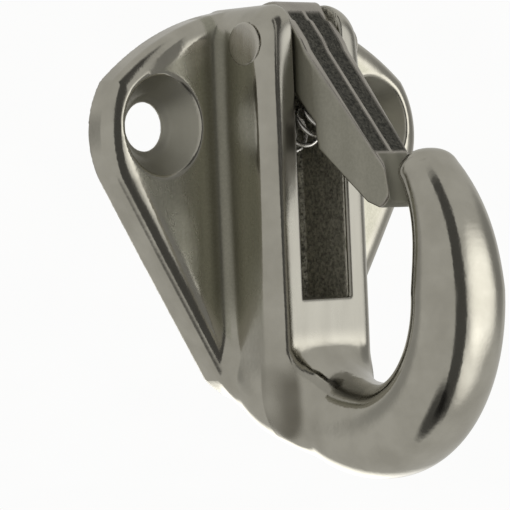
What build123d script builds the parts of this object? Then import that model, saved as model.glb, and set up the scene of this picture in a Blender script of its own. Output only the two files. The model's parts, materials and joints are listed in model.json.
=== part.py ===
from build123d import *
import math
import os

# Plate hook with a sprung latch: a marine fender and rope hook of cast
# stainless steel. Millimetres. Origin: midway between the two screw holes, on
# the flat back face. +Z is up, +X is to the right seen from the front, and the
# hook stands out towards -Y.

# Wall plate
PLATE_THICKNESS = 3.8
PLATE_HALF_WIDTH = 24.4
PLATE_TOP_Z = 13.3
HOLE_SPACING = 33.0
HOLE_RADIUS = 2.75
SINK_RIM_RADIUS = 5.7
SINK_STEP_RADIUS = 3.5
SINK_DEPTH = 2.9
SINK_STEP_DEPTH = 3.4
SHOULDER_X = 22.4
SHOULDER_Z = 5.1
WIDEST_Z = -0.6
FLANK_TOP_X = 22.9
FLANK_TOP_Z = -6.2
FLANK_FOOT_X = 8.6
FLANK_FOOT_Z = -28.8
FOOT_DROP = 3.2
SHOULDER_RADIUS = 4.0
FLANK_RADIUS = 6.0
FOOT_RADIUS = 4.0
PLATE_EDGE_RADIUS = 1.2
OVERCUT = 5.0

# Central rib and its pocket
RIB_DEPTH = 11.8
RIB_HALF_WIDTH = 7.8
RIB_TOP_Z = PLATE_TOP_Z
RIB_TOP_RADIUS = 3.2
RIB_SHOULDER_RADIUS = 4.2
RIB_SQUARENESS = 6.0
ROOT_OVERLAP = 0.8
SEAM_STEP = 0.04
SEAM_RISE = 1.5
ROOT_HALF_DEPTH = (RIB_DEPTH + ROOT_OVERLAP) / 2
POCKET_HALF_WIDTH = 3.7
POCKET_FLOOR_Y = -4.4
POCKET_BOTTOM_Z = -20.0
POCKET_CORNER_RADIUS = 0.4

# Hook: a quarter bow from the rib to the lowest point, a second, taller quarter
# to the front, then a limb that leans towards the latch and ends in a nose. The
# bow is thicker than the limb, because its inside is shallower than its outside
BOW_CENTRE_Y = -19.9
BOW_CENTRE_Z = -24.1
BOW_INNER_REACH = 8.1
BOW_INNER_DROP = 5.5
BOW_OUTER_DROP = 16.1
BOW_FRONT_Z = -19.65
HOOK_HALF_WIDTH = 5.75
HOOK_HALF_DEPTH = 4.05
HOOK_SQUARENESS = 2.3
THINNING_END = 60.0
NARROWING_START = 18.0
NARROWING_END = 75.0
NOSE_HALF_WIDTH = 3.9
NOSE_HALF_DEPTH = 2.6
NOSE_TOP_Z = -4.0
NOSE_LEAN = 3.4
LEAN_POWER = 2.9
SECTION_POINTS = 28
BOW_STEP_DEGREES = 18
LIMB_STATIONS = (0.4, 0.75, 1.0)
TAPER_POWER = 1.3
DOME_STATIONS = (0.4, 0.72, 0.92)

# Hinge
PIN_Y = -8.0
PIN_Z = 8.8
PIN_RADIUS = 2.45
PIN_HALF_LENGTH = 7.75
LATCH_BORE_RADIUS = 2.5

# Latch: profile sizes are taken along its front face and out from the pin
LATCH_SLOPE = math.radians(38.3)
LATCH_TOP_RADIUS = 4.85
LATCH_FRONT = 3.65
LATCH_HEEL = 3.5
LATCH_NECK_REAR = -1.0
LATCH_STEP_TOP = 11.3
LATCH_STEP_FOOT = 13.7
LATCH_STEP_REAR = -2.3
LATCH_TIP_REAR = -0.8
LATCH_LENGTH = 24.4
LATCH_NECK_START = 5.5
LATCH_FRONT_ROUND = 3.0
LATCH_CORNER_ROUND = 0.7
LATCH_CORNER_OUT = 2.6
LATCH_END_BEVEL_ALONG = 1.8
LATCH_END_BEVEL_OUT = 1.4
LATCH_HALF_WIDTH = 3.5
LATCH_TAPER_Y = -14.4
LATCH_TIP_HALF_WIDTH = 2.6
LATCH_TIP_Y = -25.4
SEAT_RADIUS = 3.6
SEAT_START = 19.4
SEAT_TILT = math.radians(10.0)

# Spring, on a curved centre line between the pocket floor and the latch
SPRING_RADIUS = 2.1
SPRING_WIRE_RADIUS = 0.3
SPRING_TURNS = 6
SPRING_POINTS_PER_TURN = 16
SPRING_BEND = LATCH_SLOPE
SPRING_ARC_RADIUS = 13.4
SPRING_FOOT_Z = -1.45
SPRING_MARGIN = 0.04
SPRING_EASE = 0.7


def front_plane(y):
    """A drawing plane seen from the front: local x is +X, local y is +Z."""
    return Plane(origin=(0, y, 0), x_dir=(1, 0, 0), z_dir=(0, -1, 0))


def side_plane(x):
    """A drawing plane seen from +X: local x is +Y, local y is +Z."""
    return Plane(origin=(x, 0, 0), x_dir=(0, 1, 0), z_dir=(1, 0, 0))


def plate_outline():
    """The drop-shaped outline of the wall plate, on the back face."""
    with BuildSketch(front_plane(0)) as outline:
        with BuildLine():
            top = ThreePointArc((-SHOULDER_X, SHOULDER_Z), (0, PLATE_TOP_Z), (SHOULDER_X, SHOULDER_Z))
            right = ThreePointArc(top @ 1, (PLATE_HALF_WIDTH, WIDEST_Z), (FLANK_TOP_X, FLANK_TOP_Z))
            flank = Line(right @ 1, (FLANK_FOOT_X, FLANK_FOOT_Z))
            foot = ThreePointArc(flank @ 1, (0, FLANK_FOOT_Z - FOOT_DROP), (-FLANK_FOOT_X, FLANK_FOOT_Z))
            other_flank = Line(foot @ 1, (-FLANK_TOP_X, FLANK_TOP_Z))
            ThreePointArc(other_flank @ 1, (-PLATE_HALF_WIDTH, WIDEST_Z), top @ 0)
        make_face()
        fillet(outline.vertices().sort_by(Axis.Y)[-2:], SHOULDER_RADIUS)
        for level, radius in ((FLANK_TOP_Z, FLANK_RADIUS), (FLANK_FOOT_Z, FOOT_RADIUS)):
            corners = [v for v in outline.vertices() if abs(v.Y - level) < 0.01]
            fillet(corners, radius)
    return outline.sketch


def plate():
    body = extrude(plate_outline(), PLATE_THICKNESS)
    front = body.faces().sort_by(Axis.Y)[0]
    return fillet(front.edges(), PLATE_EDGE_RADIUS)


def superellipse(angle, half_width, half_depth, squareness):
    """A point of the cross-section: x across, d outwards from the bow's centre."""
    c = math.cos(angle)
    s = math.sin(angle)
    x = half_width * math.copysign(abs(c) ** (2 / squareness), c)
    d = half_depth * math.copysign(abs(s) ** (2 / squareness), s)
    return x, d


def section(y, z, tilt, half_width, half_depth, squareness):
    """A cross-section face. tilt turns its outward direction from +Y towards -Z."""
    points = []
    for i in range(SECTION_POINTS):
        x, d = superellipse(2 * math.pi * i / SECTION_POINTS, half_width, half_depth, squareness)
        points.append((x, y + d * math.cos(tilt), z - d * math.sin(tilt)))
    return make_face(Spline(*points, periodic=True))


def mix(a, b, t):
    return a + (b - a) * t


def eased(value, start, end):
    """0 before start, 1 after end, and a smooth rise between them."""
    t = min(max((value - start) / (end - start), 0.0), 1.0)
    return t * t * (3 - 2 * t)


def rib_section(z):
    return section(ROOT_HALF_DEPTH - RIB_DEPTH, z, 0, RIB_HALF_WIDTH, ROOT_HALF_DEPTH, RIB_SQUARENESS)


def rib():
    """The upright rib, with its top rounded over to the front and the sides."""
    column = extrude(rib_section(BOW_CENTRE_Z), RIB_TOP_Z - BOW_CENTRE_Z, dir=(0, 0, 1))
    with BuildSketch(side_plane(-RIB_DEPTH)) as side:
        with Locations((-RIB_DEPTH, RIB_TOP_Z)):
            Rectangle(RIB_DEPTH + OVERCUT, RIB_TOP_Z - BOW_CENTRE_Z, align=(Align.MIN, Align.MAX))
        fillet(side.vertices().group_by(Axis.X)[0].sort_by(Axis.Y)[-1], RIB_TOP_RADIUS)
    with BuildSketch(front_plane(ROOT_OVERLAP)) as front:
        with Locations((0, RIB_TOP_Z)):
            Rectangle(2 * RIB_HALF_WIDTH, RIB_TOP_Z - BOW_CENTRE_Z, align=(Align.CENTER, Align.MAX))
        fillet(front.vertices().group_by(Axis.Y)[-1], RIB_SHOULDER_RADIUS)
    return column & extrude(side.sketch, 2 * RIB_DEPTH) & extrude(front.sketch, RIB_DEPTH + OVERCUT)


def bow_section(degrees):
    """A section of the first quarter, between the bow's inside and its outside."""
    c = math.cos(math.radians(degrees))
    s = math.sin(math.radians(degrees))
    root_reach = BOW_INNER_REACH + 2 * ROOT_HALF_DEPTH - SEAM_STEP
    outer_reach = mix(root_reach, BOW_OUTER_DROP, eased(degrees, 0, THINNING_END))
    inner = Vector(0, (BOW_INNER_REACH + SEAM_STEP) * c, -BOW_INNER_DROP * s)
    outer = Vector(0, outer_reach * c, -outer_reach * s)
    middle = (inner + outer) / 2
    across = outer - inner
    share = eased(degrees, NARROWING_START, NARROWING_END)
    half_width = mix(RIB_HALF_WIDTH - SEAM_STEP, HOOK_HALF_WIDTH, share)
    squareness = mix(RIB_SQUARENESS, HOOK_SQUARENESS, share)
    tilt = math.atan2(-across.Z, across.Y)
    y = BOW_CENTRE_Y + middle.Y
    z = BOW_CENTRE_Z + middle.Z
    return section(y, z, tilt, half_width, across.length / 2, squareness)


def bow_sections():
    """Sections from the foot of the rib, round the bow and up the front limb."""
    root_half_depth = ROOT_HALF_DEPTH - SEAM_STEP
    root_half_width = RIB_HALF_WIDTH - SEAM_STEP
    root_y = ROOT_HALF_DEPTH - RIB_DEPTH
    root_z = BOW_CENTRE_Z + SEAM_RISE
    faces = [section(root_y, root_z, 0, root_half_width, root_half_depth, RIB_SQUARENESS)]
    faces += [bow_section(degrees) for degrees in range(0, 90, BOW_STEP_DEGREES)]
    reach = BOW_INNER_REACH + HOOK_HALF_DEPTH
    low_z = BOW_CENTRE_Z - (BOW_INNER_DROP + BOW_OUTER_DROP) / 2
    low_half_depth = (BOW_OUTER_DROP - BOW_INNER_DROP) / 2
    rise = BOW_FRONT_Z - low_z
    for degrees in range(0, 91, BOW_STEP_DEGREES):
        c = math.cos(math.radians(degrees))
        s = math.sin(math.radians(degrees))
        tilt = math.atan2(reach * c, -rise * s)
        y = BOW_CENTRE_Y - reach * s
        z = BOW_FRONT_Z - rise * c
        half_depth = mix(low_half_depth, HOOK_HALF_DEPTH, eased(degrees, 0, 90))
        faces.append(section(y, z, tilt, HOOK_HALF_WIDTH, half_depth, HOOK_SQUARENESS))
    return faces + limb_sections(BOW_CENTRE_Y - reach, BOW_FRONT_Z)


def limb_sections(foot_y, foot_z):
    """Sections up the front limb, which tapers, leans in and closes in a dome."""
    rise = NOSE_TOP_Z - NOSE_HALF_DEPTH - foot_z
    slope = math.atan2(LEAN_POWER * NOSE_LEAN, rise)
    faces = []
    for t in LIMB_STATIONS:
        taper = t**TAPER_POWER
        half_width = mix(HOOK_HALF_WIDTH, NOSE_HALF_WIDTH, taper)
        half_depth = mix(HOOK_HALF_DEPTH, NOSE_HALF_DEPTH, taper)
        tilt = math.pi + math.atan2(LEAN_POWER * NOSE_LEAN * t ** (LEAN_POWER - 1), rise)
        y = foot_y + NOSE_LEAN * t**LEAN_POWER
        z = foot_z + rise * t
        faces.append(section(y, z, tilt, half_width, half_depth, HOOK_SQUARENESS))
    for close in DOME_STATIONS:
        scale = math.sqrt(1 - close**2)
        dome_y = y + close * NOSE_HALF_DEPTH * math.sin(slope)
        dome_z = z + close * NOSE_HALF_DEPTH * math.cos(slope)
        half_width = NOSE_HALF_WIDTH * scale
        half_depth = NOSE_HALF_DEPTH * scale
        faces.append(section(dome_y, dome_z, math.pi + slope, half_width, half_depth, HOOK_SQUARENESS))
    return faces


def pocket():
    """The open-topped pocket in the rib that the latch swings into."""
    width = 2 * POCKET_HALF_WIDTH
    height = RIB_TOP_Z - POCKET_BOTTOM_Z + OVERCUT
    depth = RIB_DEPTH + POCKET_FLOOR_Y + OVERCUT
    box = Box(width, depth, height, align=(Align.CENTER, Align.MAX, Align.MIN))
    box = Pos(0, POCKET_FLOOR_Y, POCKET_BOTTOM_Z) * box
    back = box.edges().filter_by(Axis.Z).group_by(Axis.Y)[-1]
    return fillet(back, POCKET_CORNER_RADIUS)


def screw_hole(x):
    """A through hole with a two-step countersink, to be cut from the plate."""
    profile = Polyline(
        (0, OVERCUT, 0),
        (HOLE_RADIUS, OVERCUT, 0),
        (HOLE_RADIUS, SINK_STEP_DEPTH - PLATE_THICKNESS, 0),
        (SINK_STEP_RADIUS, SINK_DEPTH - PLATE_THICKNESS, 0),
        (SINK_RIM_RADIUS, -PLATE_THICKNESS, 0),
        (SINK_RIM_RADIUS, -PLATE_THICKNESS - OVERCUT, 0),
        (0, -PLATE_THICKNESS - OVERCUT, 0),
        close=True,
    )
    return Pos(x, 0, 0) * revolve(make_face(profile), Axis.Y)


def pin_cylinder(radius, half_length):
    return Pos(0, PIN_Y, PIN_Z) * Rot(0, 90, 0) * Cylinder(radius, 2 * half_length)


def behind_the_wall_face():
    """Everything behind the flat back, where the rib's root is trimmed."""
    side = 4 * PLATE_HALF_WIDTH
    return Box(side, OVERCUT, side, align=(Align.CENTER, Align.MIN, Align.CENTER))


def hook_body():
    body = plate() + rib() + loft(bow_sections())
    body -= behind_the_wall_face()
    body -= pocket()
    for side in (-1, 1):
        body -= screw_hole(side * HOLE_SPACING / 2)
    body -= pin_cylinder(PIN_RADIUS, 2 * RIB_HALF_WIDTH)
    return body


def latch_point(along, out):
    """A point (y, z) of the latch, down its front face and out from the pin."""
    y = PIN_Y - along * math.sin(LATCH_SLOPE) - out * math.cos(LATCH_SLOPE)
    z = PIN_Z - along * math.cos(LATCH_SLOPE) + out * math.sin(LATCH_SLOPE)
    return y, z


def latch_profile():
    """Side view: a round-topped hub with a heel, and the arm with its spring step."""
    front_start = -math.sqrt(LATCH_TOP_RADIUS**2 - LATCH_FRONT**2)
    heel_rise = math.sqrt(LATCH_TOP_RADIUS**2 - LATCH_HEEL**2)
    crown = (PIN_Y, PIN_Z + LATCH_TOP_RADIUS)
    heel_top = (PIN_Y + LATCH_HEEL, PIN_Z + heel_rise)
    heel_foot = (PIN_Y + LATCH_HEEL, PIN_Z)
    with BuildSketch(side_plane(-LATCH_HALF_WIDTH)) as profile:
        with BuildLine():
            front_foot = latch_point(LATCH_LENGTH - LATCH_FRONT_ROUND, LATCH_FRONT)
            front = Line(front_foot, latch_point(front_start, LATCH_FRONT))
            top = ThreePointArc(front @ 1, crown, heel_top)
            heel = Line(top @ 1, heel_foot)
            under = RadiusArc(heel @ 1, (PIN_Y, PIN_Z - LATCH_HEEL), LATCH_HEEL)
            rear = Polyline(
                under @ 1,
                latch_point(LATCH_NECK_START, LATCH_NECK_REAR),
                latch_point(LATCH_STEP_TOP, LATCH_NECK_REAR),
                latch_point(LATCH_STEP_FOOT, LATCH_STEP_REAR),
                latch_point(LATCH_LENGTH - LATCH_END_BEVEL_ALONG, LATCH_TIP_REAR),
            )
            end = Line(rear @ 1, latch_point(LATCH_LENGTH, LATCH_TIP_REAR + LATCH_END_BEVEL_OUT))
            corner = latch_point(LATCH_LENGTH - LATCH_CORNER_ROUND, LATCH_CORNER_OUT)
            ThreePointArc(end @ 1, corner, front @ 0)
        make_face()
    return profile.sketch


def latch_plan():
    """Plan view: parallel sides at the hub, tapering towards the tip."""
    half = [
        (LATCH_HALF_WIDTH, 0),
        (LATCH_HALF_WIDTH, LATCH_TAPER_Y),
        (LATCH_TIP_HALF_WIDTH, LATCH_TIP_Y),
    ]
    mirrored = [(-x, y) for x, y in reversed(half)]
    return make_face(Polyline(*half, *mirrored, close=True))


def latch_seat():
    """The round groove down the front of the tip, facing the hook's nose."""
    y, z = latch_point(SEAT_START, LATCH_FRONT)
    frame = Plane(origin=(0, y, z), x_dir=(1, 0, 0), z_dir=(0, -math.sin(SEAT_TILT), -math.cos(SEAT_TILT)))
    groove = Cylinder(SEAT_RADIUS, LATCH_LENGTH)
    return frame * Pos(0, SEAT_RADIUS, 0) * groove


def latch():
    arm = extrude(latch_profile(), 2 * LATCH_HALF_WIDTH) & extrude(latch_plan(), LATCH_LENGTH, both=True)
    return arm - latch_seat() - pin_cylinder(LATCH_BORE_RADIUS, 2 * LATCH_HALF_WIDTH)


def hinge_pin():
    return pin_cylinder(PIN_RADIUS, PIN_HALF_LENGTH)


def spring_point(turn_fraction):
    """A point of the spring's wire centre line, on a bent helix."""
    arc = SPRING_BEND * spring_progress(turn_fraction)
    turn = 2 * math.pi * SPRING_TURNS * turn_fraction
    centre_z = SPRING_FOOT_Z + SPRING_ARC_RADIUS
    reach = SPRING_ARC_RADIUS + SPRING_RADIUS * math.cos(turn)
    x = SPRING_RADIUS * math.sin(turn)
    y = POCKET_FLOOR_Y - reach * math.sin(arc)
    z = centre_z - reach * math.cos(arc)
    return x, y, z


def spring_progress(t):
    """Share of the bend reached: closed end coils, open coils between."""
    margin = SPRING_MARGIN
    eased = t - SPRING_EASE * math.sin(2 * math.pi * t) / (2 * math.pi)
    return margin + (1 - 2 * margin) * eased


def spring():
    count = SPRING_POINTS_PER_TURN * SPRING_TURNS
    points = [spring_point(i / count) for i in range(count + 1)]
    path = Spline(*points)
    wire = Plane(origin=path @ 0, z_dir=path % 0) * Circle(SPRING_WIRE_RADIUS)
    return sweep(wire, path)


os.makedirs("parts", exist_ok=True)
export_step(hook_body(), "parts/hook_body.step")
export_step(latch(), "parts/latch.step")
export_step(hinge_pin(), "parts/hinge_pin.step")
export_step(spring(), "parts/spring.step")
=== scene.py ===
import json
import math

import bmesh
import bpy
import numpy as np
from mathutils import Matrix, Vector


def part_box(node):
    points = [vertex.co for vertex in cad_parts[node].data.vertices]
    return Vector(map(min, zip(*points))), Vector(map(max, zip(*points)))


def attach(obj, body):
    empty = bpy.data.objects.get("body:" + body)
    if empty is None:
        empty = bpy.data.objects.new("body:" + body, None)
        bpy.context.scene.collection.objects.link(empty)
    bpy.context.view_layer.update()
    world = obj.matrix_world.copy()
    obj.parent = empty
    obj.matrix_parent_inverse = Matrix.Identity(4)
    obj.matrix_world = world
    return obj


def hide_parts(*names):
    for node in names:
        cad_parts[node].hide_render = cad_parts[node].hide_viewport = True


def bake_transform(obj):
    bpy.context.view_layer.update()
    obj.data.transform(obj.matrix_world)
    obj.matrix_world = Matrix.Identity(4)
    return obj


# A cast stainless wall-plate hook with a sprung latch. Shapes are worked out in
# millimetres in the row's frame: origin midway between the screw holes on the
# flat back, +Z up, the hook standing out towards -Y. MM turns them into metres.
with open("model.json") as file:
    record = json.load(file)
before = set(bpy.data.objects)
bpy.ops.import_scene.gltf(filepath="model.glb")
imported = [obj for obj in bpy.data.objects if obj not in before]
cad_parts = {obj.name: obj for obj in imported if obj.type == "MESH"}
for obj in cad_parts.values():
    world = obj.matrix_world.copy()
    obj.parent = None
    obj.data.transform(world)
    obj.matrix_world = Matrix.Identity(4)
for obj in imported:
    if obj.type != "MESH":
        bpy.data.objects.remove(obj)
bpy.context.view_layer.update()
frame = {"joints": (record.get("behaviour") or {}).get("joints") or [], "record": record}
MM = 0.001


def node_box(node):
    """A CAD node's lowest and highest corners in millimetres."""
    low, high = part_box(node)
    return np.array(low) / MM, np.array(high) / MM


JOINT = frame["joints"][0]
PIN_Y, PIN_Z = (value / MM for value in JOINT["pos_m"][1:])
BODY_LOW, BODY_HIGH = node_box("hook_body")
LATCH_LOW, LATCH_HIGH = node_box("latch")
PIN_LOW, PIN_HIGH = node_box("hinge_pin")
HOLES = next(m for m in frame["record"]["mounts"] if m["name"] == "screw_holes")
HOLE_X = HOLES["dims"]["spacing_x_mm"] / 2
HOLE_RADIUS = HOLES["dims"]["hole_r_mm"]

# Wall plate
PLATE_TOP_Z = 13.3
PLATE_HALF_WIDTH = BODY_HIGH[0]
PLATE_THICKNESS = 3.8
PLATE_EDGE_DEPTH = 1.5
PLATE_EDGE_REACH = 3.0
BACK_EDGE_RADIUS = 0.1
SHOULDER = (22.4, 5.1)
WIDEST_Z = -0.6
FLANK_TOP = (22.9, -6.2)
FLANK_FOOT = (8.6, -28.8)
FOOT_DROP = 3.2
OUTLINE_TANGENTS = 720
SINK_RIM_RADIUS = 5.7
SINK_STEP_RADIUS = 3.5
SINK_DEPTH = 2.9
SINK_STEP_DEPTH = 3.4
SINK_EDGE_RADIUS = 0.22
MILD_CONE_ROUNDING = 0.15
STEEP_CONE_ROUNDING = 0.1

# Central rib and its pocket
RIB_DEPTH = 11.8
RIB_HALF_WIDTH = 7.8
RIB_TOP_Z = BODY_HIGH[2]
EAR_RADIUS = 4.2
RIB_EDGE_RADIUS = 2.4
RIB_TOP_RADIUS = 3.0
RIB_TOP_START_Z = 4.0
RIB_FILLET = 1.5
RIB_FILLET_FADE_Z = 9.0
RIB_FOOT_RADIUS = 4.6
FOOT_LIFT = 0.9
FOOT_LIFT_DEPTH = 5.0
ROOT_FILLET = 2.0
SHARP_FILLET = 0.01
FADED_FILLET = 0.05
POCKET_HALF_WIDTH = 3.7
POCKET_FLOOR_Y = -4.4
POCKET_BOTTOM_Z = -20.0
POCKET_CORNER_RADIUS = 0.4
POCKET_EDGE_RADIUS = 0.35
POCKET_OVERCUT = 3.0

# Hook
BOW_Y = -19.9
BOW_Z = -24.1
BOW_INNER_REACH = 8.1
BOW_INNER_DROP = 5.5
BOW_OUTER_DROP = 16.1
BOW_FRONT_Z = -19.65
ROOT_HALF_WIDTH = 6.9
ROOT_OVERLAP = 0.5
HOOK_HALF_WIDTH = 5.7
HOOK_HALF_DEPTH = 4.05
HOOK_SQUARENESS = 2.3
THINNING_END = math.radians(60)
ROUNDING_START = math.radians(10)
ROUNDING_END = math.radians(65)
NOSE_HALF_WIDTH = 3.9
NOSE_HALF_DEPTH = 2.5
NOSE_WIDTH_POWER = 1.3
NOSE_DEPTH_POWER = 1.1
NOSE_TOP_Z = -4.0
NOSE_LEAN = 3.5
LEAN_POWER = 2.8
BACK_ROWS = 150
FRONT_ROWS = 120
LIMB_ROWS = 80

# Latch: places are taken along its front face and out from the pin
SLOPE = math.radians(38.3)
LATCH_TOP_RADIUS = 4.85
LATCH_FRONT = 3.65
LATCH_HEEL = 3.5
LATCH_LENGTH = 24.4
LATCH_HALF_WIDTH = LATCH_HIGH[0]
LATCH_TAPER_Y = -14.4
LATCH_TIP_HALF_WIDTH = 2.6
LATCH_TIP_Y = LATCH_LOW[1]
LATCH_TAPER_LIMIT = 1.2
LATCH_EDGE_RADIUS = 0.4
LATCH_HUB_ROUNDING = 0.3
LATCH_NECK_FILLET = 0.8
LATCH_FRONT_END = (LATCH_LENGTH - 2.8, LATCH_FRONT)
LATCH_CORNER = (LATCH_LENGTH - 0.65, 2.7)
LATCH_TIP = (LATCH_LENGTH, 0.6)
LATCH_BACK = [
    (LATCH_LENGTH - 0.1, 0.1),
    (LATCH_LENGTH - 1.7, -0.8),
    (18.5, -1.5),
    (13.75, -2.3),
    (12.3, -1.6),
    (11.2, -0.75),
    (7.7, -1.0),
    (0, -1.0),
]
SEAT_RADIUS = 3.6
SEAT_START = 19.4
SEAT_TILT = math.radians(10)
SEAT_EDGE_RADIUS = 0.15
BAND_INNER_X = 0.18
BAND_OUTER_X = 2.65
BAND_START = -2.0
BAND_FRONT = 2.6
BAND_DEPTH = 0.12

# Pin and spring
PIN_RADIUS = (PIN_HIGH[2] - PIN_LOW[2]) / 2
PIN_SHANK_RADIUS = PIN_RADIUS - 0.3
SHANK_CLEARANCE = 0.03
SHANK_BORE_ROUNDING = 0.05
LATCH_CLEARANCE = 0.05
LATCH_BORE_ROUNDING = 0.1
# The pin's end, from its centre out and back to the shank: distance past the
# rib's side, and radius there
PIN_END = [
    (0.09, 0.001),
    (0.09, PIN_RADIUS - 0.6),
    (0.07, PIN_RADIUS - 0.2),
    (0.03, PIN_RADIUS - 0.05),
    (-0.04, PIN_RADIUS),
    (-0.15, PIN_RADIUS),
    (-0.17, PIN_SHANK_RADIUS),
]
SPRING_RADIUS = 2.1
WIRE_RADIUS = 0.3
SPRING_TURNS = 6
SPRING_ARC_RADIUS = 13.4
SPRING_FOOT_Z = -1.45
SPRING_END_SHARE = 0.04
SPRING_CLOSENESS = 0.7
WIRE_SIDES = 12
WIRE_STEPS_PER_TURN = 48
WIRE_SIDE_HINT = (0, 0.35, 1)

# Spacing of the points that each shape is sampled at
BODY_STEP = 0.25
LATCH_STEP = 0.15
# Points are first sampled in blocks of this many steps, from this share of a block
# outside the box, and finely only within this many blocks of the surface
BLOCK = 4
BLOCK_MARGIN = 0.75
NEAR_BLOCKS = 1.3
FAR = 50.0
TINY = 1e-6
ROW_MARGIN = 0.001
LEAST_ROUND_SLOPE = 0.05
LEAST_SLOPE_SQUARE = 0.25


# ---- distance fields: negative inside, positive outside, all in millimetres ----

def smooth_step(t):
    """0 to 1 as t goes from 0 to 1, level at both ends."""
    t = np.clip(t, 0, 1)
    return t * t * (3 - 2 * t)


def rise(value, start, over):
    """0 up to the start, then smoothly up to 1 over a distance."""
    return smooth_step((value - start) / over)


def fall(value, end, over):
    """1, then smoothly down over a distance to 0 at the end."""
    return smooth_step((end - value) / over)


def mix(a, b, t):
    return a + (b - a) * t


def round_both(a, b, radius):
    """What is inside both a and b, with its outer corner rounded to a radius."""
    corner = np.hypot(np.maximum(a + radius, 0), np.maximum(b + radius, 0))
    return np.minimum(np.maximum(a, b), -radius) + corner


def fillet_join(a, b, radius):
    """What is inside a or b, with the inner corner between them filled to a radius."""
    corner = np.hypot(np.maximum(radius - a, 0), np.maximum(radius - b, 0))
    return np.maximum(np.minimum(a, b), radius) - corner


def round_cut(a, tool, radius):
    """a with a tool's shape cut away, and the cut's edge rounded."""
    return round_both(a, -tool, radius)


def arc_points(a, b, c, count):
    """Points along the arc from a through b to c, in the plane."""
    (ax, ay), (bx, by), (cx, cy) = a, b, c
    d = 2 * (ax * (by - cy) + bx * (cy - ay) + cx * (ay - by))
    a2, b2, c2 = ax * ax + ay * ay, bx * bx + by * by, cx * cx + cy * cy
    ux = (a2 * (by - cy) + b2 * (cy - ay) + c2 * (ay - by)) / d
    uy = (a2 * (cx - bx) + b2 * (ax - cx) + c2 * (bx - ax)) / d
    start = math.atan2(ay - uy, ax - ux)
    middle = (math.atan2(by - uy, bx - ux) - start + math.pi) % (2 * math.pi) - math.pi
    end = (math.atan2(cy - uy, cx - ux) - start + math.pi) % (2 * math.pi) - math.pi
    if middle * end < 0:
        end += math.copysign(2 * math.pi, middle)
    angles = start + np.linspace(0, end, count)
    radius = math.hypot(ax - ux, ay - uy)
    return np.stack([ux + radius * np.cos(angles), uy + radius * np.sin(angles)], 1)


def plate_supports():
    """The plate's outline as tangent lines: unit normals and their distances."""
    sx, sz = SHOULDER
    top = arc_points((-sx, sz), (0, PLATE_TOP_Z), (sx, sz), 60)
    side = arc_points(SHOULDER, (PLATE_HALF_WIDTH, WIDEST_Z), FLANK_TOP, 30)
    foot_low = (0, FLANK_FOOT[1] - FOOT_DROP)
    foot = arc_points(FLANK_FOOT, foot_low, (-FLANK_FOOT[0], FLANK_FOOT[1]), 30)
    points = np.concatenate([top, side, foot, side * [-1, 1]])
    angles = np.linspace(0, 2 * math.pi, OUTLINE_TANGENTS, endpoint=False)
    normals = np.stack([np.cos(angles), np.sin(angles)])
    reach = (points @ normals).max(0)
    return normals, reach


PLATE_NORMALS, PLATE_REACH = plate_supports()


def outline_distance(x, z):
    """Distance from the plate's outline in the plane of the wall."""
    flat = np.stack([x, z], 1)
    return (flat @ PLATE_NORMALS - PLATE_REACH).max(1)


def plate_field(p):
    """The wall plate, its front edge rolled over further in than it is deep."""
    x, y, z = p.T
    front = -PLATE_THICKNESS - y
    side = outline_distance(x, z) * PLATE_EDGE_DEPTH / PLATE_EDGE_REACH
    return round_both(side, front, PLATE_EDGE_DEPTH)


def hook_stations():
    """Rows along the hook's centre line, from the rib to the nose: y, z, sizes, roundness."""
    rows = []
    for angle in np.linspace(0, math.pi / 2, BACK_ROWS, endpoint=False):
        thin = smooth_step(angle / THINNING_END)
        oval = rise(angle, ROUNDING_START, over=ROUNDING_END - ROUNDING_START)
        across, fallen = math.cos(angle), math.sin(angle)
        outer = mix(BOW_INNER_REACH + RIB_DEPTH, BOW_OUTER_DROP, thin)
        inner_y, inner_z = BOW_INNER_REACH * across, BOW_INNER_DROP * fallen
        outer_y, outer_z = outer * across, outer * fallen
        half_depth = math.hypot(outer_y - inner_y, outer_z - inner_z) / 2
        y = BOW_Y + (inner_y + outer_y) / 2
        z = BOW_Z - (inner_z + outer_z) / 2
        rows.append((y, z, mix(ROOT_HALF_WIDTH, HOOK_HALF_WIDTH, oval), half_depth, oval))
    reach = BOW_INNER_REACH + HOOK_HALF_DEPTH
    low_z = BOW_Z - (BOW_INNER_DROP + BOW_OUTER_DROP) / 2
    low_half_depth = (BOW_OUTER_DROP - BOW_INNER_DROP) / 2
    for angle in np.linspace(0, math.pi / 2, FRONT_ROWS, endpoint=False):
        y = BOW_Y - reach * math.sin(angle)
        z = BOW_FRONT_Z - (BOW_FRONT_Z - low_z) * math.cos(angle)
        half_depth = mix(low_half_depth, HOOK_HALF_DEPTH, smooth_step(angle / (math.pi / 2)))
        rows.append((y, z, HOOK_HALF_WIDTH, half_depth, 1))
    climb = NOSE_TOP_Z - NOSE_HALF_DEPTH - BOW_FRONT_Z
    for t in np.linspace(0, 1, LIMB_ROWS):
        y = BOW_Y - reach + NOSE_LEAN * t**LEAN_POWER
        half_width = mix(HOOK_HALF_WIDTH, NOSE_HALF_WIDTH, t**NOSE_WIDTH_POWER)
        half_depth = mix(HOOK_HALF_DEPTH, NOSE_HALF_DEPTH, t**NOSE_DEPTH_POWER)
        rows.append((y, BOW_FRONT_Z + climb * t, half_width, half_depth, 1))
    return np.array(rows)


STATIONS = hook_stations()
STATION_TANGENTS = np.gradient(STATIONS[:, :2], axis=0)
STATION_TANGENTS /= np.linalg.norm(STATION_TANGENTS, axis=1)[:, None]


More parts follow.
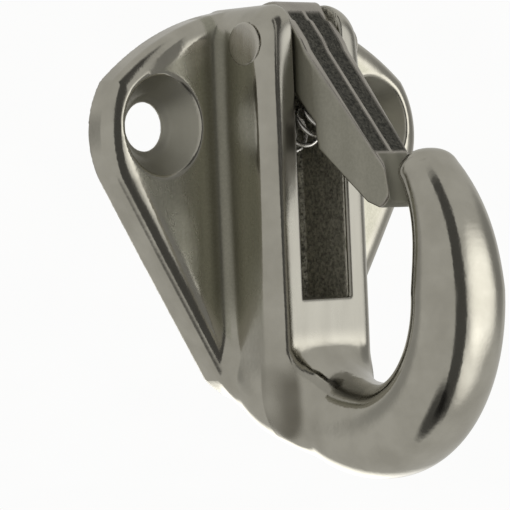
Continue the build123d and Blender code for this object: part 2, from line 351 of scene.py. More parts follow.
def nearest_station(y, z):
    """The nearest row of the hook's centre line in the side view, as a fraction."""
    starts = STATIONS[:-1, :2]
    steps = np.diff(STATIONS[:, :2], axis=0)
    squares = (steps**2).sum(1)
    flat = np.stack([y, z], 1)
    along = (flat @ steps.T - (starts * steps).sum(1)) / squares
    clipped = np.clip(along, 0, 1)
    dy = y[:, None] - starts[:, 0] - clipped * steps[:, 0]
    dz = z[:, None] - starts[:, 1] - clipped * steps[:, 1]
    best = (dy**2 + dz**2).argmin(1)
    share = clipped[np.arange(len(best)), best]
    return best + share


def hook_place(p):
    """Where points lie along the hook: the section's sizes, and out and ahead of its centre."""
    y, z = p[:, 1], p[:, 2]
    row = nearest_station(y, z)
    low = np.minimum(row.astype(int), len(STATIONS) - 2)
    share = (row - low)[:, None]
    values = mix(STATIONS[low], STATIONS[low + 1], share)
    tangent = mix(STATION_TANGENTS[low], STATION_TANGENTS[low + 1], share)
    tangent /= np.linalg.norm(tangent, axis=1)[:, None]
    dy = y - values[:, 0]
    dz = z - values[:, 1]
    out = dz * tangent[:, 0] - dy * tangent[:, 1]
    ahead = dy * tangent[:, 0] + dz * tangent[:, 1]
    return row, values, out, ahead


def bow_field(p):
    """Two distances: from the hook's surface, and from its outer curve in the side view."""
    row, values, out, ahead = hook_place(p)
    past = np.where(row > len(STATIONS) - 1 - ROW_MARGIN, np.maximum(ahead, 0), 0)
    before = np.where(row < ROW_MARGIN, np.maximum(-ahead, 0), 0)
    half_width, half_depth, oval = values[:, 2], values[:, 3], values[:, 4]
    across = np.abs(p[:, 0])
    n = HOOK_SQUARENESS
    ax, ad, ae = across / half_width, np.abs(out) / half_depth, past / NOSE_HALF_DEPTH
    total = ax**n + ad**n + ae**n + TINY
    norm = total ** (1 / n)
    slope = norm ** (1 - n) * np.sqrt(
        (ax ** (n - 1) / half_width) ** 2
        + (ad ** (n - 1) / half_depth) ** 2
        + (ae ** (n - 1) / NOSE_HALF_DEPTH) ** 2
    )
    round_form = (norm - 1) / np.maximum(slope, LEAST_ROUND_SLOPE)
    box_form = round_both(across - half_width, np.abs(out) - half_depth, RIB_EDGE_RADIUS)
    hook = np.maximum(mix(box_form, round_form, oval), before - ROOT_OVERLAP)
    return hook, out - half_depth


def rib_field(p, under):
    """The rib, down to its foot, which ends on the hook's outer curve."""
    x, y, z = p.T
    upright = round_both(np.abs(x) - RIB_HALF_WIDTH, z - RIB_TOP_Z, EAR_RADIUS)
    lifted = under + FOOT_LIFT * rise(-y, FOOT_LIFT_DEPTH, over=6)
    upright = round_both(upright, lifted, RIB_FOOT_RADIUS)
    radius = mix(RIB_EDGE_RADIUS, RIB_TOP_RADIUS, rise(z, RIB_TOP_START_Z, over=8))
    return round_both(upright, -RIB_DEPTH - y, radius)


def pocket_field(p):
    """The open-topped pocket in the rib that the latch swings into."""
    x, y, z = p.T
    sides = round_both(np.abs(x) - POCKET_HALF_WIDTH, y - POCKET_FLOOR_Y, POCKET_CORNER_RADIUS)
    return np.maximum(np.maximum(sides, POCKET_BOTTOM_Z - z), -RIB_DEPTH - POCKET_OVERCUT - y)


def sink_field(p):
    """A screw hole with its two-step countersink."""
    x, y, z = p.T
    r = np.hypot(np.abs(x) - HOLE_X, z)
    depth = y + PLATE_THICKNESS
    through = r - HOLE_RADIUS
    rim_slope = (SINK_RIM_RADIUS - SINK_STEP_RADIUS) / SINK_DEPTH
    mild = (r - SINK_RIM_RADIUS + depth * rim_slope) / math.hypot(1, rim_slope)
    step_slope = (SINK_STEP_RADIUS - HOLE_RADIUS) / (SINK_STEP_DEPTH - SINK_DEPTH)
    steep = (r - SINK_STEP_RADIUS + (depth - SINK_DEPTH) * step_slope) / math.hypot(1, step_slope)
    mild = np.maximum(mild, r - SINK_RIM_RADIUS)
    steep = np.maximum(steep, r - SINK_STEP_RADIUS)
    cones = round_both(mild, depth - SINK_DEPTH, MILD_CONE_ROUNDING)
    cones = np.minimum(cones, round_both(steep, depth - SINK_STEP_DEPTH, STEEP_CONE_ROUNDING))
    return np.minimum(cones, through)


def body_field(p):
    """The whole casting; the hook is worked out only for points that can be near it."""
    y, z = p[:, 1], p[:, 2]
    hook = np.full(len(p), FAR)
    under = np.full(len(p), -FAR)
    near = (z < BOW_Z + 2) | (y < BOW_Y + 1)
    hook[near], under[near] = bow_field(p[near])
    root_fillet = ROOT_FILLET * fall(z, BOW_Z, over=5) + SHARP_FILLET
    core = fillet_join(rib_field(p, under), hook, root_fillet)
    plate_fillet = mix(RIB_FILLET, FADED_FILLET, rise(z, RIB_FILLET_FADE_Z, over=3.5))
    solid = fillet_join(plate_field(p), core, plate_fillet)
    solid = round_both(solid, y, BACK_EDGE_RADIUS)
    solid = round_cut(solid, pocket_field(p), POCKET_EDGE_RADIUS)
    solid = round_cut(solid, sink_field(p), SINK_EDGE_RADIUS)
    bore = np.hypot(y - PIN_Y, z - PIN_Z) - PIN_SHANK_RADIUS - SHANK_CLEARANCE
    return round_cut(solid, bore, SHANK_BORE_ROUNDING)


def latch_place(p):
    """Distances along the latch's front face and out from the pin."""
    dy, dz = p[:, 1] - PIN_Y, p[:, 2] - PIN_Z
    along = -dy * math.sin(SLOPE) - dz * math.cos(SLOPE)
    out = -dy * math.cos(SLOPE) + dz * math.sin(SLOPE)
    return along, out


def latch_outline():
    """The arm's side view as (along, out) points, clockwise from the hub."""
    corner = arc_points(LATCH_FRONT_END, LATCH_CORNER, LATCH_TIP, 9)
    return np.concatenate([[(0, LATCH_FRONT)], corner, LATCH_BACK])


LATCH_OUTLINE = latch_outline()


def polygon_distance(u, v, points):
    """Signed distance from a closed polygon in the plane."""
    ends = np.roll(points, -1, axis=0)
    inside = np.zeros(len(u), bool)
    best = np.full(len(u), FAR * FAR)
    for (ax, ay), (bx, by) in zip(points, ends):
        ex, ey = bx - ax, by - ay
        t = np.clip(((u - ax) * ex + (v - ay) * ey) / (ex * ex + ey * ey), 0, 1)
        best = np.minimum(best, (u - ax - t * ex) ** 2 + (v - ay - t * ey) ** 2)
        if ay != by:
            crosses = ((ay > v) != (by > v)) & (u < (v - ay) / ey * ex + ax)
            inside ^= crosses
    return np.where(inside, -1, 1) * np.sqrt(best)


def latch_half_width(y):
    """Half the latch's width: parallel at the hub, then tapering to the tip."""
    share = (LATCH_TAPER_Y - y) / (LATCH_TAPER_Y - LATCH_TIP_Y)
    return mix(LATCH_HALF_WIDTH, LATCH_TIP_HALF_WIDTH, np.clip(share, 0, LATCH_TAPER_LIMIT))


def face_bands(x, along, out):
    """1 on the two sunken, as-cast bands of the latch's front face, else 0."""
    across = np.abs(x)
    bands = rise(across, BAND_INNER_X, over=0.22) * fall(across, BAND_OUTER_X, over=0.3)
    bands *= rise(along, BAND_START, over=0.6) * fall(along, SEAT_START, over=0.6)
    return bands * rise(out, BAND_FRONT, over=0.6)


def latch_field(p):
    """The latch: hub with its heel, arm, seat for the nose, face bands and bore."""
    along, out = latch_place(p)
    x, y, z = p.T
    from_pin = np.hypot(y - PIN_Y, z - PIN_Z)
    hub = round_both(from_pin - LATCH_TOP_RADIUS, out - LATCH_FRONT, LATCH_HUB_ROUNDING)
    heel = round_both(hub, y - PIN_Y - LATCH_HEEL, LATCH_HUB_ROUNDING)
    lower = np.maximum(heel, from_pin - LATCH_HEEL)
    hub = np.where((z < PIN_Z) & (out < 0), lower, heel)
    arm = polygon_distance(along, out, LATCH_OUTLINE)
    side_view = fillet_join(hub, arm, LATCH_NECK_FILLET)
    form = round_both(side_view, np.abs(x) - latch_half_width(y), LATCH_EDGE_RADIUS)
    axis_y = PIN_Y - SEAT_START * math.sin(SLOPE) - LATCH_FRONT * math.cos(SLOPE)
    axis_z = PIN_Z - SEAT_START * math.cos(SLOPE) + LATCH_FRONT * math.sin(SLOPE)
    dy, dz = y - axis_y, z - axis_z
    off = dy * math.cos(SEAT_TILT) - dz * math.sin(SEAT_TILT)
    seat = np.hypot(x, off + SEAT_RADIUS) - SEAT_RADIUS
    form = round_cut(form, seat, SEAT_EDGE_RADIUS)
    form = form + BAND_DEPTH * face_bands(x, along, out)
    return round_cut(form, from_pin - PIN_RADIUS - LATCH_CLEARANCE, LATCH_BORE_ROUNDING)


# ---- meshes from fields ----

def evaluate(field, points, chunk=20000):
    """The field at points, worked out a chunk at a time."""
    parts = [field(points[i:i + chunk]) for i in range(0, len(points), chunk)]
    return np.concatenate(parts) if parts else np.zeros(0)


def spread_blocks(values, block):
    """Repeats each value over a block of a finer grid."""
    for axis in range(3):
        values = np.repeat(values, block, axis)
    return values


def sample_near_surface(field, low, high, step, block=BLOCK):
    """The field on a grid, exact near the surface and signed elsewhere."""
    counts = np.ceil((high - low) / (step * block)).astype(int) + 2
    coarse = step * block
    origin = low - coarse * BLOCK_MARGIN
    centres = [origin[i] + coarse * (np.arange(counts[i]) + 0.5) for i in range(3)]
    grid = np.stack(np.meshgrid(*centres, indexing="ij"), -1).reshape(-1, 3)
    rough = evaluate(field, grid).reshape(counts)
    near = np.abs(rough) < coarse * NEAR_BLOCKS
    full = spread_blocks(rough, block).astype(np.float32)
    mask = spread_blocks(near, block)
    index = np.argwhere(mask)
    points = origin + (index + 0.5) * step
    full[mask] = evaluate(field, points)
    return full, origin + 0.5 * step


def net_faces(values, ids, axis):
    """Quads round each grid edge along an axis where the surface crosses."""
    inside = values < 0
    first = [slice(None)] * 3
    second = [slice(None)] * 3
    first[axis], second[axis] = slice(0, -1), slice(1, None)
    crossing = inside[tuple(first)] != inside[tuple(second)]
    outward = inside[tuple(first)]
    b, c = [k for k in range(3) if k != axis]
    where = np.argwhere(crossing)
    where = where[(where[:, b] > 0) & (where[:, c] > 0)]
    limit = np.array(ids.shape)
    where = where[(where < limit).all(1)]
    steps = np.eye(3, dtype=int)
    corners = [where, where - steps[b], where - steps[b] - steps[c], where - steps[c]]
    quads = np.stack([ids[tuple(q.T)] for q in corners], 1)
    flip = outward[tuple(where.T)] == (axis == 1)
    quads[flip] = quads[flip][:, ::-1]
    return quads[(quads >= 0).all(1)]


def surface_net(values, origin, step):
    """A closed quad mesh where sampled values change sign."""
    inside = values < 0
    corner = [slice(0, -1), slice(1, None)]
    offsets = [(i, j, k) for i in (0, 1) for j in (0, 1) for k in (0, 1)]
    count = sum(inside[corner[i], corner[j], corner[k]].astype(np.int8) for i, j, k in offsets)
    active = (count > 0) & (count < 8)
    cells = np.argwhere(active)
    ids = np.full(active.shape, -1)
    ids[active] = np.arange(len(cells))
    total = np.zeros((len(cells), 3))
    hits = np.zeros(len(cells))
    for a in offsets:
        for axis in range(3):
            if a[axis] == 1:
                continue
            b = list(a)
            b[axis] = 1
            va = values[tuple((cells + a).T)]
            vb = values[tuple((cells + b).T)]
            cross = (va < 0) != (vb < 0)
            share = np.where(cross, va / np.where(cross, va - vb, 1), 0)
            spot = cells + a + np.eye(3)[axis] * share[:, None]
            total += np.where(cross[:, None], spot, 0)
            hits += cross
    points = origin + total / hits[:, None] * step
    faces = np.concatenate([net_faces(values, ids, axis) for axis in range(3)])
    return points, faces


def gradient(field, points, reach=0.02):
    """The field's slope along x, y and z."""
    columns = []
    for axis in range(3):
        shift = np.eye(3)[axis] * reach
        change = evaluate(field, points + shift) - evaluate(field, points - shift)
        columns.append(change / (2 * reach))
    return np.stack(columns, 1)


def settle(field, points, step, rounds=2):
    """Moves points onto the field's surface."""
    for _ in range(rounds):
        slope = gradient(field, points)
        size = np.maximum((slope**2).sum(1), LEAST_SLOPE_SQUARE)
        move = -evaluate(field, points)[:, None] * slope / size[:, None]
        length = np.linalg.norm(move, axis=1)[:, None]
        points = points + move * np.minimum(1, step / np.maximum(length, 1e-9))
    return points


def mesh_object(name, points, faces):
    """A smooth-shaded object from points in millimetres and four-sided faces."""
    mesh = bpy.data.meshes.new(name)
    mesh.vertices.add(len(points))
    mesh.vertices.foreach_set("co", (points * MM).astype(np.float32).ravel())
    mesh.loops.add(faces.size)
    mesh.loops.foreach_set("vertex_index", faces.astype(np.int32).ravel())
    mesh.polygons.add(len(faces))
    mesh.polygons.foreach_set("loop_start", np.arange(len(faces), dtype=np.int32) * 4)
    mesh.update(calc_edges=True)
    mesh.polygons.foreach_set("use_smooth", np.ones(len(faces), bool))
    obj = bpy.data.objects.new(name, mesh)
    bpy.context.scene.collection.objects.link(obj)
    return obj


def field_object(name, field, low, high, step):
    """A mesh object of a field's surface, and its points in millimetres."""
    values, origin = sample_near_surface(field, low, high, step)
    points, faces = surface_net(values, origin, step)
    points = settle(field, points, step)
    return mesh_object(name, points, faces), points


def paint(obj, name, values):
    """Stores a 0 to 1 mask on the mesh for its material to read."""
    layer = obj.data.attributes.new(name, "FLOAT", "POINT")
    layer.data.foreach_set("value", values.astype(np.float32))


# ---- pieces ----

# Strength of the finishes and of the painted shade where they are partial
CORNER_SHADE = 0.5
# On the right the duller finish and its painted shade are weaker
RIGHT_DULL_AND_SHADE = 0.75
CHEEK_DULLNESS = 0.8


def crease_shade_mask(p):
    """Painted shade: a brown darkening in the corner of rib and plate, and in the crease at the hook's
    root.
    """
    x, y, z = p.T
    from_corner = np.abs(np.abs(x) - RIB_HALF_WIDTH - 0.6)
    corner = fall(from_corner, RIB_FILLET + 1.0, over=1.4)
    corner *= rise(y, -PLATE_THICKNESS - RIB_FILLET - 0.9, over=1.2)
    corner *= rise(z, BOW_Z, over=6) * fall(z, 11.5, over=2.5)
    root = np.zeros(len(p))
    root_top = BOW_Z - 2.5
    low = (z < root_top) & (np.abs(y + RIB_DEPTH + 1) < 4)
    hook, under = bow_field(p[low])
    gap = np.abs(rib_field(p[low], under)) + np.abs(hook)
    root[low] = fall(gap, 1.75, over=0.6) * fall(z[low], root_top, over=3)
    root *= rise(np.abs(x), 5.4, over=0.8)
    return np.maximum(CORNER_SHADE * corner, root)


def pocket_mask(p):
    """The rough, as-cast inside of the pocket."""
    x, y, z = p.T
    inside = fall(np.abs(x), POCKET_HALF_WIDTH + 0.06, over=0.1)
    inside *= rise(y, 0.5 - RIB_DEPTH, over=0.3) * fall(y, POCKET_FLOOR_Y / 2, over=0.3)
    return inside * rise(z, POCKET_BOTTOM_Z - 0.1, over=0.15)


def sink_mask(p):
    """The machined screw holes."""
    x, y, z = p.T
    r = np.hypot(np.abs(x) - HOLE_X, z)
    return fall(r, SINK_RIM_RADIUS - 0.1, over=0.1) * rise(y, -PLATE_THICKNESS, over=0.1)


def dull_and_shade_mask(p):
    """The plate's face and the rib's sides, where polishing is poorer; their darker colour, strongest
    on the left, is painted shade.
    """
    x, y, z = p.T
    r = np.hypot(np.abs(x) - HOLE_X, z)
    face = fall(outline_distance(x, z), -0.75 * PLATE_EDGE_REACH, over=0.8)
    face *= rise(y, -PLATE_THICKNESS - 0.9, over=0.6) * rise(r, SINK_RIM_RADIUS + 0.2, over=0.3)
    side = rise(np.abs(x), RIB_HALF_WIDTH - 0.2, over=0.15) * fall(np.abs(x), 9.6, over=0.4)
    side *= rise(y, -9.6, over=0.5) * rise(z, BOW_Z - 2, over=8)
    return np.maximum(face, side) * mix(RIGHT_DULL_AND_SHADE, 1.0, fall(x, 2, over=4))


def satin_front_shade_mask(p):
    """The satin front face of the rib; its darker colour is painted shade."""
    x, y, z = p.T
    front = rise(-y, RIB_DEPTH - 0.25, over=0.2) * rise(y, -RIB_DEPTH - 0.5, over=0.2)
    front *= fall(np.abs(x), RIB_HALF_WIDTH - 1.4, over=0.8)
    return front * rise(z, BOW_Z - 2, over=3)


def hook_body():
    """The casting, with masks for its finishes and its painted shade; its back stays plain."""
    step = BODY_STEP
    obj, p = field_object("hook_casting", body_field, BODY_LOW, BODY_HIGH, step)
    off_back = fall(p[:, 1], -0.05, over=0.15)
    paint(obj, "rough_cast", pocket_mask(p))
    paint(obj, "machined_and_shade", sink_mask(p) * off_back)
    # duller finish, with painted shade on the plate face and rib sides, strongest on the left
    paint(obj, "dull_and_shade", dull_and_shade_mask(p) * off_back)
    # satin finish, with painted shade darkening the rib's front face
    paint(obj, "satin_and_shade", satin_front_shade_mask(p))
    # painted shade in the rib-plate corners and the hook-root crease
    paint(obj, "crease_shade", crease_shade_mask(p) * off_back)
    return obj


def latch():
    """The latch, with masks for its rough bands, dull cheeks and machined seat; the seat's darker tone
    is painted shade.
    """
    step = LATCH_STEP
    obj, p = field_object("latch_arm", latch_field, LATCH_LOW, LATCH_HIGH, step)
    along, out = latch_place(p)
    across = np.abs(p[:, 0])
    cheek = rise(across - latch_half_width(p[:, 1]), -0.12, over=0.1)
    # Painted shade: the seat under the nose darker than a machined finish alone
    seat = rise(along, SEAT_START - 0.2, over=0.4) * fall(across, 2.4, over=0.3)
    paint(obj, "rough_cast", face_bands(p[:, 0], along, out))
    paint(obj, "dull_and_shade", CHEEK_DULLNESS * cheek)
    paint(obj, "machined_and_shade", seat)
    return obj


def lathe(name, profile, axis_point, segments=96):
    """A closed turned piece round the X direction from (x, radius) pairs."""
    x, r = np.array(profile).T
    turn = np.linspace(0, 2 * math.pi, segments, endpoint=False)
    rings = np.stack([
        np.repeat(x, segments),
        axis_point[0] + np.outer(r, np.cos(turn)).ravel(),
        axis_point[1] + np.outer(r, np.sin(turn)).ravel(),
    ], 1)
    k = np.arange(segments)
    k2 = (k + 1) % segments
    faces = []
    for ring in range(len(x) - 1):
        a, b = ring * segments, (ring + 1) * segments
        faces.append(np.stack([a + k, a + k2, b + k2, b + k], 1))
    return mesh_object(name, rings, np.concatenate(faces))


def hinge_pin():
    """The pin, its ends spread over their holes and ground almost flush."""
    ends = [(RIB_HALF_WIDTH + past, radius) for past, radius in PIN_END]
    profile = [(-x, r) for x, r in ends] + [(x, r) for x, r in reversed(ends)]
    return lathe("pin", profile, (PIN_Y, PIN_Z))


def spring_progress(t):
    """Share of the bend reached: closed end coils, open coils between."""
    wave = math.sin(2 * math.pi * t) / (2 * math.pi)
    return SPRING_END_SHARE + (1 - 2 * SPRING_END_SHARE) * (t - SPRING_CLOSENESS * wave)


def spring_point(t):
    """A point of the wire's centre line, t running from 0 to 1 along the spring."""
    arc = SLOPE * spring_progress(t)
    turn = 2 * math.pi * SPRING_TURNS * t
    reach = SPRING_ARC_RADIUS + SPRING_RADIUS * math.cos(turn)
    y = POCKET_FLOOR_Y - reach * math.sin(arc)
    z = SPRING_FOOT_Z + SPRING_ARC_RADIUS - reach * math.cos(arc)
    return SPRING_RADIUS * math.sin(turn), y, z


def spring():
    """One round wire wound along a bent centre line."""
    count = WIRE_STEPS_PER_TURN * SPRING_TURNS
    path = np.array([spring_point(i / count) for i in range(count + 1)])
    tangent = np.gradient(path, axis=0)
    tangent /= np.linalg.norm(tangent, axis=1)[:, None]
    side = np.cross(tangent, WIRE_SIDE_HINT)
    side /= np.linalg.norm(side, axis=1)[:, None]
    up = np.cross(side, tangent)
    turn = np.linspace(0, 2 * math.pi, WIRE_SIDES, endpoint=False)[None, :, None]
    ring = np.cos(turn) * side[:, None] + np.sin(turn) * up[:, None]
    points = (path[:, None] + WIRE_RADIUS * ring).reshape(-1, 3)
    k = np.arange(WIRE_SIDES)
    k2 = (k + 1) % WIRE_SIDES
    faces = []
    for i in range(count):
        a, b = i * WIRE_SIDES, (i + 1) * WIRE_SIDES
        faces.append(np.stack([a + k, a + k2, b + k2, b + k], 1))
    obj = mesh_object("spring_wire", points, np.concatenate(faces))
    add_caps(obj, WIRE_SIDES, count)
    return obj


def add_caps(obj, sides, count):
    """Closes both ends of a tube."""
    shape = bmesh.new()
    shape.from_mesh(obj.data)
    shape.verts.ensure_lookup_table()
    shape.faces.new([shape.verts[k] for k in reversed(range(sides))])
    shape.faces.new([shape.verts[count * sides + k] for k in range(sides)])
    bmesh.ops.recalc_face_normals(shape, faces=shape.faces)
    shape.to_mesh(obj.data)
    shape.free()


# ---- materials ----

BLACK = (0, 0, 0, 1)
CASTING_TONES = {
    "polished": (0.5, 0.485, 0.43, 1),
    "worn": (0.43, 0.415, 0.365, 1),
    "cast_dark": (0.12, 0.117, 0.096, 1),
    "cast_light": (0.65, 0.63, 0.54, 1),
    "turned_and_shade": (0.39, 0.38, 0.33, 1),
}
LATCH_TONES = {
    "polished": (0.46, 0.44, 0.4, 1),
    "worn": (0.38, 0.36, 0.33, 1),
    "cast_dark": (0.025, 0.025, 0.02, 1),
    "cast_light": (0.11, 0.107, 0.09, 1),
    # Latch seat tone, darkened as painted shade
    "turned_and_shade": (0.25, 0.245, 0.205, 1),
}
CASTING_GLOSS = 0.07
LATCH_GLOSS = 0.2
CAST_ROUGHNESS = (0.62, 0.62, 0.62, 1)
# Duller steel; on the casting their darkness is painted shade
DULL_AND_SHADE_TONES = ((0.35, 0.345, 0.285, 1), (0.46, 0.45, 0.38, 1))
DULL_GRAIN_TONE = (0.22, 0.22, 0.18, 1)
# Rib front: satin mottle, darkened as painted shade
SATIN_AND_SHADE_TONES = ((0.27, 0.265, 0.24, 1), (0.38, 0.37, 0.335, 1))
# Painted shade for the rib-plate corners and the hook-root crease
CREASE_SHADE_TONE = (0.13, 0.12, 0.095, 1)
CREASE_SHADE_STRENGTH = 0.75
WIRE_TONES = ((0.62, 0.61, 0.58, 1), (0.78, 0.77, 0.75, 1))
PIN_TONES = ((0.5, 0.48, 0.43, 1), (0.6, 0.58, 0.53, 1))
PAPER_TONES = ((0.985, 0.985, 0.98, 1), (1, 1, 0.995, 1))
PAPER_GLOW = 0.98
SURROUND_TONE = (1, 0.985, 0.94, 1)
# The dim card's outer and inner sides
FLAG_GLOW = (0.28, 0.5)


class Nodes:
    """A short way to write a node tree."""

    def __init__(self, tree):
        self.tree = tree

    def add(self, kind, inputs=None, **settings):
        node = self.tree.nodes.new(kind)
        for key, value in settings.items():
            setattr(node, key, value)
        for key, value in (inputs or {}).items():
            self.put(value, node.inputs[key])
        return node

    def put(self, value, socket):
        if isinstance(value, bpy.types.NodeSocket):
            self.tree.links.new(value, socket)
        else:
            socket.default_value = value

    def spread(self, value, low, high, to_low=0.0, to_high=1.0, interpolation="LINEAR"):
        limits = {"From Min": low, "From Max": high, "To Min": to_low, "To Max": to_high}
        settings = {"interpolation_type": interpolation}
        return self.add("ShaderNodeMapRange", {"Value": value, **limits}, **settings).outputs["Result"]

    def math(self, operation, *values):
        inputs = dict(enumerate(values))
        return self.add("ShaderNodeMath", inputs, operation=operation).outputs[0]


class Surface(Nodes):
    """A material's node tree, with textures, masks and its one shader."""

    def __init__(self, name):
        self.material = bpy.data.materials.new(name)
        self.material.use_nodes = True
        super().__init__(self.material.node_tree)
        self.shader = self.tree.nodes["Principled BSDF"]

    def noise(self, scale, detail, stretch=(1, 1, 1), roughness=0.5):
        place = self.add("ShaderNodeTexCoord").outputs["Object"]
        placed = self.add("ShaderNodeMapping", {"Vector": place, "Scale": stretch})
        inputs = {"Scale": scale, "Detail": detail, "Roughness": roughness}
        inputs["Vector"] = placed.outputs[0]
        return self.add("ShaderNodeTexNoise", inputs).outputs["Fac"]

    def blend(self, share, a, b):
        node = self.add("ShaderNodeMix", data_type="RGBA")
        self.put(share, node.inputs["Factor"])
        self.put(a, node.inputs[6])
        self.put(b, node.inputs[7])
        return node.outputs[2]

    def mask(self, name):
        return self.add("ShaderNodeAttribute", attribute_name=name).outputs["Fac"]

    def bump(self, height, strength, distance, normal=None):
        inputs = {"Height": height, "Strength": strength, "Distance": distance}
        if normal is not None:
            inputs["Normal"] = normal
        return self.add("ShaderNodeBump", inputs).outputs["Normal"]

    def glow(self, color, strength):
        """Light given off by a surface that mirrors nothing."""
        self.put(color, self.shader.inputs["Emission Color"])
        self.put(strength, self.shader.inputs["Emission Strength"])
        self.put(0, self.shader.inputs["Specular IOR Level"])

    def finish(self, color, roughness, normal, metallic=1.0):
        self.put(color, self.shader.inputs["Base Color"])
        self.put(roughness, self.shader.inputs["Roughness"])
        self.put(normal, self.shader.inputs["Normal"])
        self.put(metallic, self.shader.inputs["Metallic"])
        return self.material


def dull_and_shade_color(n):
    """Duller, darker steel in faint upright streaks, with a dark grain; on the casting's face and rib
    sides the darkness is painted shade.
    """
    streaks = n.noise(330, 4, stretch=(1, 1, 0.1))
    grain = n.noise(3200, 2, roughness=0.7)
    color = n.blend(n.spread(streaks, 0.3, 0.7), *DULL_AND_SHADE_TONES)
    return n.blend(n.spread(grain, 0.35, 0.65, 0.3, 0), color, DULL_GRAIN_TONE)


def cast_steel(name, tones, gloss):
    """Polished stainless casting: faint mottling, hairlines, pits, and rough as-cast places."""
    n = Surface(name)
    mottle = n.noise(260, 5)
    fine = n.noise(1900, 3)
    hairs = n.noise(900, 3, stretch=(1, 1, 0.12))
    grit = n.noise(2600, 2, roughness=0.7)
    grit_wide = n.noise(700, 2)
    dull_and_shade, satin_and_shade, turned_and_shade, cast = (n.mask(m) for m in ("dull_and_shade", "satin_and_shade", "machined_and_shade", "rough_cast"))
    crease_shade = n.math("MULTIPLY", n.mask("crease_shade"), CREASE_SHADE_STRENGTH)

    color = n.blend(n.spread(mottle, 0.35, 0.65), tones["polished"], tones["worn"])
    # Duller finish; on the casting its darker colour is painted shade, strongest on the left
    color = n.blend(dull_and_shade, color, dull_and_shade_color(n))
    # Painted shade: the rib's front face darker, with a satin mottle
    color = n.blend(satin_and_shade, color, n.blend(mottle, *SATIN_AND_SHADE_TONES))
    # Painted shade: the rib-plate corners and the hook-root crease darkened
    color = n.blend(crease_shade, color, CREASE_SHADE_TONE)
    # Machined finish; on the latch's seat its darker tone is painted shade
    color = n.blend(turned_and_shade, color, tones["turned_and_shade"])
    cast_color = n.blend(n.spread(grit, 0.35, 0.65), tones["cast_dark"], tones["cast_light"])
    color = n.blend(cast, color, cast_color)

    rough = n.spread(mottle, 0.3, 0.7, gloss, gloss + 0.08)
    rough = n.math("ADD", rough, n.spread(hairs, 0.3, 0.7, -0.02, 0.04))
    for mask, extra in ((dull_and_shade, 0.16), (satin_and_shade, 0.18), (crease_shade, 0.35), (turned_and_shade, 0.38)):
        rough = n.math("ADD", rough, n.math("MULTIPLY", mask, extra))
    rough = n.blend(cast, rough, CAST_ROUGHNESS)

    normal = n.bump(fine, 0.06, 0.00012, n.bump(mottle, 0.05, 0.0006))
    height = n.math("MULTIPLY", n.math("ADD", grit, grit_wide), cast)
    normal = n.bump(height, 0.9, 0.00028, normal)
    metallic = n.math("SUBTRACT", 1.0, n.math("MULTIPLY", cast, 0.45))
    return n.finish(color, rough, normal, metallic)


def wire_steel():
    n = Surface("spring_wire_steel")
    drawn = n.noise(2200, 2)
    rough = n.spread(drawn, 0.3, 0.7, 0.2, 0.34)
    return n.finish(n.blend(drawn, *WIRE_TONES), rough, n.bump(drawn, 0.1, 0.00005))


def ground_pin_steel():
    n = Surface("ground_pin_steel")
    marks = n.noise(1500, 3, stretch=(1, 1, 0.2))
    rough = n.spread(marks, 0.3, 0.7, 0.2, 0.32)
    return n.finish(n.blend(marks, *PIN_TONES), rough, n.bump(marks, 0.12, 0.00008))


def dress(obj, material, node):
    """Gives a piece its material and hides the CAD node that it stands in for."""
    obj.data.materials.append(material)
    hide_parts(node)


def build_pieces():
    body = hook_body()
    dress(body, cast_steel("casting_steel", CASTING_TONES, CASTING_GLOSS), "hook_body")
    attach(body, "body")
    arm = latch()
    dress(arm, cast_steel("latch_casting_steel", LATCH_TONES, LATCH_GLOSS), "latch")
    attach(arm, "latch")
    pin = hinge_pin()
    dress(pin, ground_pin_steel(), "hinge_pin")
    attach(pin, "body")
    coil = spring()
    dress(coil, wire_steel(), "spring")
    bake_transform(coil)


# ---- stage, light and camera ----

CAMERA_BEARING = math.radians(43.05)
CAMERA_RISE = math.radians(0.17)
CAMERA_ROLL = math.radians(2.38)
CAMERA_DISTANCE = 0.38107
CAMERA_TARGET = Vector((-0.01125, -0.012, -0.01478))
CAMERA_LENS = 243.69
CAMERA_SHIFT = (0.0016, -0.0005)
SENSOR = 36.0


def camera():
    """The photograph's camera: its bearing, rise and roll round the target."""
    a, e, r = CAMERA_BEARING, CAMERA_RISE, CAMERA_ROLL
    back = Vector((-math.sin(a) * math.cos(e), -math.cos(a) * math.cos(e), math.sin(e)))
    right = (-back).cross(Vector((0, 0, 1))).normalized()
    down = (-back).cross(right)
    across = math.cos(r) * right + math.sin(r) * down
    fallen = -math.sin(r) * right + math.cos(r) * down
    data = bpy.data.cameras.new("camera")
    data.lens = CAMERA_LENS
    data.sensor_width = SENSOR
    data.shift_x, data.shift_y = CAMERA_SHIFT
    data.clip_start = 0.01
    obj = bpy.data.objects.new("camera", data)
    bpy.context.scene.collection.objects.link(obj)
    matrix = Matrix((across, -fallen, back)).transposed().to_4x4()
    matrix.translation = CAMERA_TARGET + back * CAMERA_DISTANCE
    obj.matrix_world = matrix
    bpy.context.scene.camera = obj


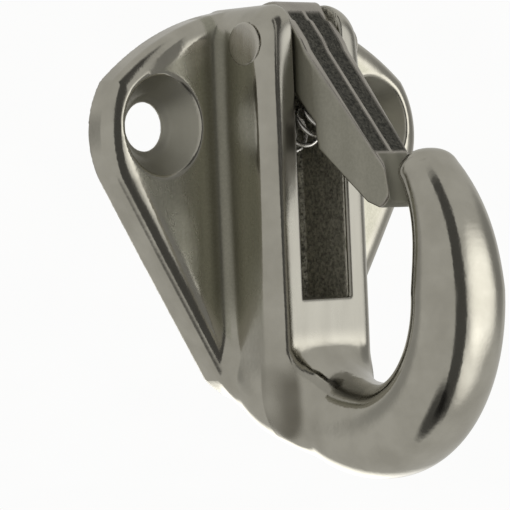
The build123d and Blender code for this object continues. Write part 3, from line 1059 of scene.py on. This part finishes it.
def backdrop():
    """A pale floor that sweeps up into a pale wall behind the object."""
    floor_z, wall, wall_top, sweep, front, half_width = -0.075, 0.55, 0.9, 0.2, -1.2, 1.6
    side = [(front, floor_z), (wall - sweep, floor_z)]
    for angle in np.linspace(0, math.pi / 2, 12)[1:]:
        depth = wall - sweep + sweep * math.sin(angle)
        side.append((depth, floor_z + sweep - sweep * math.cos(angle)))
    side.append((wall, wall_top))
    c, s = math.cos(CAMERA_BEARING), math.sin(CAMERA_BEARING)
    points = []
    for depth, height in side:
        for across in (-half_width, half_width):
            points.append((across * c + depth * s, -across * s + depth * c, height))
    faces = [(2 * i, 2 * i + 1, 2 * i + 3, 2 * i + 2) for i in range(len(side) - 1)]
    mesh = bpy.data.meshes.new("backdrop")
    mesh.from_pydata(points, [], faces)
    mesh.polygons.foreach_set("use_smooth", [True] * len(faces))
    obj = bpy.data.objects.new("backdrop", mesh)
    bpy.context.scene.collection.objects.link(obj)
    n = Surface("backdrop_paper")
    speck = n.noise(40, 2)
    n.glow(n.blend(speck, *PAPER_TONES), PAPER_GLOW)
    mesh.materials.append(n.finish(BLACK, 0.9, n.bump(speck, 0.05, 0.001), 0.0))
    obj.visible_glossy = False
    obj.visible_diffuse = False


def bearing_vector(right, up):
    """A direction from the object, in degrees right of the camera and above it."""
    a, e = CAMERA_BEARING - math.radians(right), math.radians(up)
    return (-math.sin(a) * math.cos(e), -math.cos(a) * math.cos(e), math.sin(e))


AMBIENT = 0.6
# Soft lights and dark cards round the object: name, degrees right of the camera,
# degrees up, inner and outer half angles, brightness added
LIGHTS = [
    ("right light", 85, 0, 3, 29, 1.3),
    ("lower right light", 79, -30, 3, 22, 0.8),
    ("far left light", -165, -25, 8, 26, 1.5),
    ("right back card", 122, 8, 6, 24, -0.28),
    ("front floor card", 16, -60, 12, 24, -0.5),
    ("left card", -108, 4, 6, 20, -0.22),
]
# A tall dark strip in front: its middle, the pole it is square to, half angles
# across, half angles up, and the share of light that it takes away
STRIP_MIDDLE = 44.5
STRIP_POLE = -45.5
STRIP_ACROSS = (12.2, 14.6)
STRIP_UP = (58, 70)
STRIP_DARKNESS = 0.84


def spot(n, place, label, right, up, inner, outer, height=1.0, both_sides=False):
    """A height within an inner angle of a direction, fading to 0 at an outer angle."""
    toward = bearing_vector(right, up)
    facing = n.add("ShaderNodeVectorMath", {0: place, 1: toward}, operation="DOT_PRODUCT", label=label)
    cosine = facing.outputs["Value"]
    if both_sides:
        cosine = n.math("ABSOLUTE", cosine)
    edges = math.cos(math.radians(outer)), math.cos(math.radians(inner))
    return n.spread(cosine, *edges, 0, height, interpolation="SMOOTHSTEP")


def tall_strip(n, place, total):
    """Takes light away in a tall strip of the surround."""
    inner, outer = STRIP_ACROSS
    outside = spot(n, place, "beside strip", STRIP_POLE, 0, 90 - outer, 90 - inner, both_sides=True)
    upright = spot(n, place, "strip length", STRIP_MIDDLE, 0, *STRIP_UP)
    covered = n.math("MULTIPLY", n.math("SUBTRACT", 1, outside), upright)
    return n.math("MULTIPLY", total, n.math("MULTIPLY_ADD", covered, -STRIP_DARKNESS, 1))


def flag():
    """A dim card in front of the left wing, seen only in reflections."""
    x, near, far, low, high = -6.3, -13, -24, -27, 20
    corners = [(x, near, low), (x, far, low), (x, far, high), (x, near, high)]
    mesh = bpy.data.meshes.new("flag")
    mesh.from_pydata([Vector(c) * MM for c in corners], [], [(0, 1, 2, 3)])
    obj = bpy.data.objects.new("flag", mesh)
    bpy.context.scene.collection.objects.link(obj)
    n = Surface("flag_cloth")
    inner_side = n.add("ShaderNodeNewGeometry").outputs["Backfacing"]
    n.glow(SURROUND_TONE, n.spread(inner_side, 0, 1, *FLAG_GLOW))
    n.put(BLACK, n.shader.inputs["Base Color"])
    mesh.materials.append(n.material)
    obj.visible_camera = False
    obj.visible_diffuse = False
    obj.visible_shadow = False


def studio():
    """One plain soft surround, written as lights and cards on a sphere."""
    world = bpy.data.worlds.new("studio")
    world.use_nodes = True
    bpy.context.scene.world = world
    n = Nodes(world.node_tree)
    place = n.add("ShaderNodeTexCoord").outputs["Generated"]
    total = AMBIENT
    for light in LIGHTS:
        total = n.math("ADD", total, spot(n, place, *light))
    background = n.tree.nodes["Background"]
    n.put(SURROUND_TONE, background.inputs["Color"])
    n.put(tall_strip(n, place, total), background.inputs["Strength"])
    bpy.context.scene.view_settings.view_transform = "Standard"


build_pieces()
backdrop()
camera()
flag()
studio()
